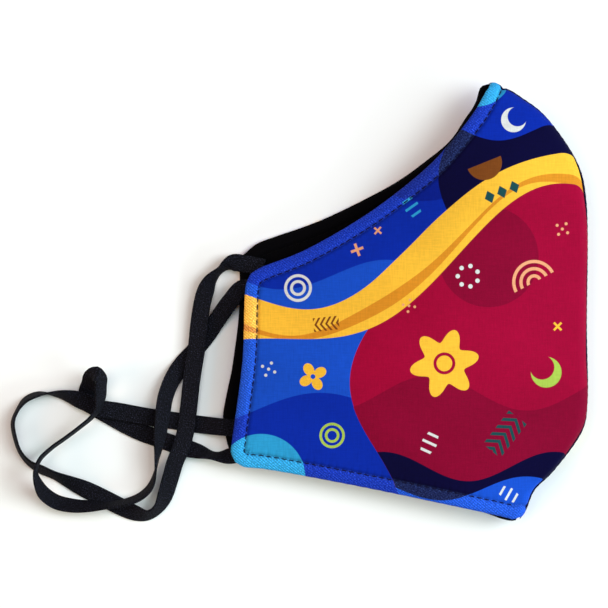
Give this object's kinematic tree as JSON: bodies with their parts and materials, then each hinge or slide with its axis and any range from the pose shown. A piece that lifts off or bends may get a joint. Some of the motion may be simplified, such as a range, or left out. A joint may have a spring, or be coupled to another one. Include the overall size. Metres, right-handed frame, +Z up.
{
  "type": "cloth face mask",
  "caption": "Fitted cloth face mask, folded in half along its centre seam and laid on its side, with printed outer cloth, dark lining and flat elastic ear loops.",
  "frame": {"origin": "on the surface, below the middle of the folded mask's box, without the ear loops", "axes": "+X from the open side edges to the centre seam, +Y from the chin to the nose, +Z up from the surface"},
  "size_m": [0.1963, 0.149, 0.0263],
  "materials": {
    "printed_cloth": "printed woven cloth, matt",
    "lining_cloth": "plain dark woven cloth, matt",
    "elastic": "flat knitted elastic, matt"
  },
  "bodies": {
    "root": {"outer_panel_right": "printed_cloth", "outer_panel_left": "printed_cloth", "lining_panel_right": "lining_cloth", "lining_panel_left": "lining_cloth", "ear_loop_right": "elastic", "ear_loop_left": "elastic"}
  },
  "joints": []
}
